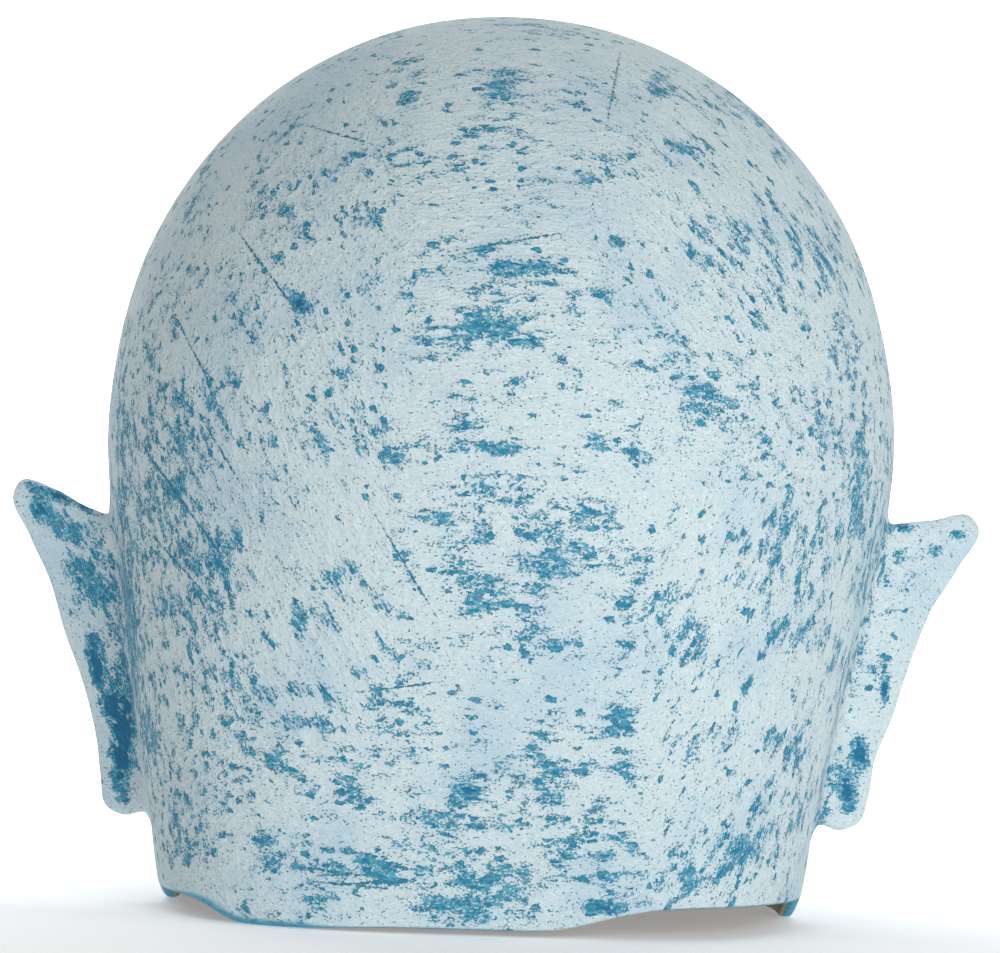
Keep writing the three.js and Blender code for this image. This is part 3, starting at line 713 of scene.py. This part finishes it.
# Chips: flakes of the ground that came away before painting leave angular hollows that hold blue.
chip_place = add(tree, "VectorMath", {0: marks["crumb"].outputs["Color"], 1: (CHIP_EDGE_MM,) * 3, 2: brushed},
                 operation="MULTIPLY_ADD")
chip_place = add(tree, "Mapping", {"Vector": chip_place, "Scale": CHIP_MM}, vector_type="TEXTURE")
chip_cells = add(tree, "TexVoronoi", {"Vector": chip_place, "Scale": 1.0})
chip_draw = add(tree, "SeparateColor", {"Color": chip_cells.outputs["Color"]}).outputs["Red"]
chip_walls = add(tree, "TexVoronoi", {"Vector": chip_place, "Scale": 1.0}, feature="DISTANCE_TO_EDGE")
chip_share = add(tree, "MapRange", {"Value": missing, "To Min": 0.015, "To Max": 0.35})
chip_share = add(tree, "Math", {0: chip_draw, 1: chip_share}, operation="LESS_THAN")
chips = add(tree, "MapRange", {"Value": chip_walls, "From Min": 0.02, "From Max": 0.08})
chips = add(tree, "Math", {0: chips, 1: chip_share}, operation="MULTIPLY")

# Scratches: grit under the brush has dragged long thin lines, as wide as the attribute says and ragged.
off_scratch = add(tree, "Math", {0: felt["off_scratch"]}, operation="ABSOLUTE")
off_scratch = add(tree, "Math", {0: marks["crumb"], 1: SCRATCH_RAGGED_MM, 2: off_scratch},
                  operation="MULTIPLY_ADD")
scratch = add(tree, "Math", {0: felt["scratch_width"], 1: off_scratch}, operation="SUBTRACT")
scratches = add(tree, "MapRange", {"Value": scratch, "From Min": -1.35, "From Max": -1.1})

# The paint: bare wherever one of these is, else pale and thinner in clouds. Just short of a gap the pale is
# lighter, a painted highlight round each crumb and chip, and the blue is darker the deeper it lies, painted
# shade.
bare = felt["rim_edge"]
for gap in (crumbs, specks, chips, scratches, gone):
    bare = add(tree, "Math", {0: gap, 1: bare}, operation="MAXIMUM")
clouds = add(tree, "TexNoise", {"Vector": place, "Scale": 1000 / CLOUD_MM, "Detail": 3.0, "Roughness": 0.55})
clouds = add(tree, "MapRange", {"Value": clouds, "From Min": 0.5, "From Max": 0.7, "To Max": 0.45})
thin = add(tree, "Math", {0: missing, 1: 0.6, 2: clouds}, operation="MULTIPLY_ADD", use_clamp=True)
# Painted highlight: the pale coat is lighter just short of each gap, as a lit rim round it.
painted_highlight_rim = add(tree, "MapRange", {"Value": cover, "From Min": 0.5, "From Max": 0.65})
# Painted shade: the blue darkens towards DEEP_BLUE deeper into a gap, in gone places and in scratches, as a
# pit in shade would. The ridge noise varies its tone.
depth = add(tree, "MapRange", {"Value": cover, "From Min": 0.68, "From Max": 0.78})
# Painted shade along the walls of each chip, darkest at the wall.
painted_chip_wall_shade = add(tree, "MapRange", {"Value": chip_walls, "From Min": 0.1, "From Max": 0.35,
                                "To Min": 1.0, "To Max": 0.45})
painted_chip_wall_shade = add(tree, "Math", {0: painted_chip_wall_shade, 1: chips}, operation="MULTIPLY")
depth = add(tree, "Math", {0: depth, 1: painted_chip_wall_shade}, operation="MAXIMUM")
for deep in (gone, scratches):
    depth = add(tree, "Math", {0: depth, 1: deep}, operation="MAXIMUM")
depth = add(tree, "Math", {0: marks["ridge"], 1: 3.6, 2: depth}, operation="MULTIPLY_ADD")
depth = add(tree, "Math", {0: depth, 1: 1.8}, operation="SUBTRACT", use_clamp=True)
pale = add(tree, "Mix", {"Factor": painted_highlight_rim, "A": PALE, "B": PAINTED_HIGHLIGHT_PALE}, data_type="RGBA")
pale = add(tree, "Mix", {"Factor": thin, "A": pale, "B": HAZE}, data_type="RGBA")
blue = add(tree, "Mix", {"Factor": depth, "A": BLUE, "B": DEEP_BLUE}, data_type="RGBA")
solid = add(tree, "Math", {0: gone, 1: 0.6}, operation="MULTIPLY")
blue = add(tree, "Mix", {"Factor": solid, "A": blue, "B": SOLID_BLUE}, data_type="RGBA")
coat = add(tree, "Mix", {"Factor": bare, "A": pale, "B": blue}, data_type="RGBA")
relief = add(tree, "Math", {0: bare, 1: -COAT_MM}, operation="MULTIPLY")
for name, height in RELIEF_MM.items():
    relief = add(tree, "Math", {0: marks[name], 1: height, 2: relief}, operation="MULTIPLY_ADD")
bump = add(tree, "Bump", {"Height": relief, "Distance": 0.001})
shader = add(tree, "BsdfPrincipled", {"Base Color": coat, "Roughness": 0.74, "Normal": bump})
add(tree, "OutputMaterial", {"Surface": shader})

# Bare layered paper inside the shell: torn strips soaked in paste, laid one over another and left
# unpainted. Each strip has its own tone and a soft torn edge, and the paste has dried darker in patches.
PAPER, GREY_PAPER, PASTE = linear("#c9bfab"), linear("#aca699"), linear("#9a8766")
STRIP_MM = (52.0, 19.0, 19.0)
STRIP_TURN = math.radians(35)
TORN_EDGE_MM = 7.0
FIBRE_MM = 1.6
PASTE_MM = 30.0
bare_paper, tree = material("bare_layered_paper")
place = add(tree, "TexCoord", {}).outputs["Object"]
fibre = add(tree, "TexNoise", {"Vector": place, "Scale": 1000 / FIBRE_MM, "Detail": 3.0, "Roughness": 0.65})
torn = add(tree, "TexNoise", {"Vector": place, "Scale": 1000 / TORN_EDGE_MM, "Detail": 4.0, "Roughness": 0.6})
torn = add(tree, "VectorMath", {0: torn.outputs["Color"], 1: (TORN_EDGE_MM / 1000,) * 3, 2: place},
           operation="MULTIPLY_ADD")
strips = add(tree, "Mapping", {"Vector": torn, "Rotation": (0, STRIP_TURN, STRIP_TURN),
                               "Scale": [size / 1000 for size in STRIP_MM]}, vector_type="TEXTURE")
strip_cells = add(tree, "TexVoronoi", {"Vector": strips, "Scale": 1.0})
strip_tone = add(tree, "SeparateColor", {"Color": strip_cells.outputs["Color"]}).outputs["Red"]
strip_edge = add(tree, "TexVoronoi", {"Vector": strips, "Scale": 1.0}, feature="DISTANCE_TO_EDGE")
strip_edge = add(tree, "MapRange", {"Value": strip_edge, "From Max": 0.07})
paste = add(tree, "TexNoise", {"Vector": place, "Scale": 1000 / PASTE_MM, "Detail": 4.0, "Roughness": 0.6})
paste = add(tree, "MapRange", {"Value": paste, "From Min": 0.45, "From Max": 0.75, "To Max": 0.7})
paper = add(tree, "Mix", {"Factor": strip_tone, "A": PAPER, "B": GREY_PAPER}, data_type="RGBA")
paper = add(tree, "Mix", {"Factor": paste, "A": paper, "B": PASTE}, data_type="RGBA")
layers = add(tree, "Math", {0: strip_edge, 1: 0.25, 2: strip_tone}, operation="MULTIPLY_ADD")
layers = add(tree, "Math", {0: fibre, 1: 0.3, 2: layers}, operation="MULTIPLY_ADD")
bump = add(tree, "Bump", {"Height": layers, "Distance": 0.0006})
shader = add(tree, "BsdfPrincipled", {"Base Color": paper, "Roughness": 0.9, "Normal": bump})
add(tree, "OutputMaterial", {"Surface": shader})

# Blue paint on the cut edges of the eye holes, where the dry brush has only caught the cut layers' grain.
CUT_GRAIN_MM = (3.0, 0.6, 3.0)
cut_edge, tree = material("blue_painted_cut_edge")
place = add(tree, "TexCoord", {}).outputs["Object"]
grain = add(tree, "Mapping", {"Vector": place, "Scale": [size / 1000 for size in CUT_GRAIN_MM]},
            vector_type="TEXTURE")
grain = add(tree, "TexNoise", {"Vector": grain, "Scale": 1.0, "Detail": 2.0, "Roughness": 0.6})
caught = add(tree, "MapRange", {"Value": grain, "From Min": 0.52, "From Max": 0.66, "To Max": 0.7})
blue = add(tree, "Mix", {"Factor": caught, "A": DEEP_BLUE, "B": PALE}, data_type="RGBA")
bump = add(tree, "Bump", {"Height": grain, "Distance": 0.0004})
shader = add(tree, "BsdfPrincipled", {"Base Color": blue, "Roughness": 0.74, "Normal": bump})
add(tree, "OutputMaterial", {"Surface": shader})

finishes = {"head": dry_brushed, "ear": dry_brushed, "nose": dry_brushed, "inside": bare_paper,
            "cut": cut_edge}
for index, surface in enumerate(SURFACES):
    shell.materials[index] = finishes[surface]
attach(mask, "root")
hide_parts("mask")

# The floor, the light and the camera
# A wide floor and a curved backdrop of white paper. The camera stands behind the mask, level with its
# middle, and leans a little, as the photograph does. The main light is beside it, and the room is dimly lit.

FLOOR_HALF_WIDTH = 5.0
BACKDROP = {"half_width": 5.0, "from": -3.6, "bend": 1.0, "height": 3.6, "steps": 25}
PAPER_GLOW = {"floor": 0.28, "backdrop": 0.95}
bend = np.linspace(0, np.pi / 2, BACKDROP["steps"])
backdrop_y = BACKDROP["from"] - BACKDROP["bend"] * np.append(np.sin(bend), 1.0)
backdrop_z = np.append(BACKDROP["bend"] * (1 - np.cos(bend)), BACKDROP["height"])


def white_paper(name, half_width, y, z):
    """A stage piece of white paper: a strip as wide as given, carried along a profile of y and z."""
    corners = [(side * half_width, *place) for place in zip(y, z) for side in (-1, 1)]
    faces = [(2 * i, 2 * i + 1, 2 * i + 3, 2 * i + 2) for i in range(len(y) - 1)]
    mesh = bpy.data.meshes.new(name)
    mesh.from_pydata(corners, [], faces)
    mesh.polygons.foreach_set("use_smooth", np.ones(len(faces), bool))
    paper, tree = material("white_paper_" + name)
    shader = add(tree, "BsdfPrincipled", {
        "Base Color": linear("#f6f6f6"), "Roughness": 0.95, "Emission Color": linear("#f6f6f6"),
        "Emission Strength": PAPER_GLOW[name]})
    add(tree, "OutputMaterial", {"Surface": shader})
    mesh.materials.append(paper)
    piece = bpy.data.objects.new(name, mesh)
    bpy.context.scene.collection.objects.link(piece)


white_paper("floor", FLOOR_HALF_WIDTH, (FLOOR_HALF_WIDTH, -FLOOR_HALF_WIDTH), (0.0, 0.0))
white_paper("backdrop", BACKDROP["half_width"], backdrop_y, backdrop_z)

# The room gives dim light, and where it is seen past the floor it is as pale as the paper.
ROOM_LIGHT, ROOM_PALER = 0.31, 0.64
world = bpy.data.worlds.new("studio")
bpy.context.scene.world = world
world.use_nodes = True
tree = world.node_tree
tree.nodes.clear()
seen = add(tree, "LightPath", {}).outputs["Is Camera Ray"]
strength = add(tree, "Math", {0: seen, 1: ROOM_PALER, 2: ROOM_LIGHT}, operation="MULTIPLY_ADD")
room = add(tree, "Background", {"Color": linear("#f5f5f5"), "Strength": strength})
add(tree, "OutputWorld", {"Surface": room})


def soft_box(name, place, aim, size, watts):
    """A square area light that looks at a point."""
    light = bpy.data.lights.new(name, "AREA")
    light.size = size
    light.energy = watts
    lamp = bpy.data.objects.new(name, light)
    lamp.location = place
    lamp.rotation_euler = (Vector(aim) - Vector(place)).to_track_quat("-Z", "Y").to_euler()
    bpy.context.scene.collection.objects.link(lamp)


soft_box("main_light", (-0.78, 2.0, 0.52), (0, 0.1, 0.13), 1.1, 26.6)
soft_box("sweep_light", (0.0, -0.8, 1.6), (0, -2.8, 0.0), 1.6, 44)
soft_box("fill_light", (1.2, -1.9, 1.1), (0, 0, 0.13), 1.2, 8)

CAMERA = {"distance": 1500.0, "level": 136.0, "roll": 1.8, "focal_px": 4687.0, "image_width": 1000.0}
camera = bpy.data.objects.new("camera", bpy.data.cameras.new("camera"))
bpy.context.scene.collection.objects.link(camera)
camera.data.lens = CAMERA["focal_px"] / CAMERA["image_width"] * camera.data.sensor_width
camera.location = (CENTRING + np.array([0, CAMERA["distance"], CAMERA["level"]])) / 1000
level_look = Matrix.Rotation(math.pi, 3, "Z") @ Matrix.Rotation(math.pi / 2, 3, "X")
camera.rotation_euler = (level_look @ Matrix.Rotation(math.radians(CAMERA["roll"]), 3, "Z")).to_euler()
bpy.context.scene.camera = camera
bpy.context.scene.view_settings.view_transform = "Standard"
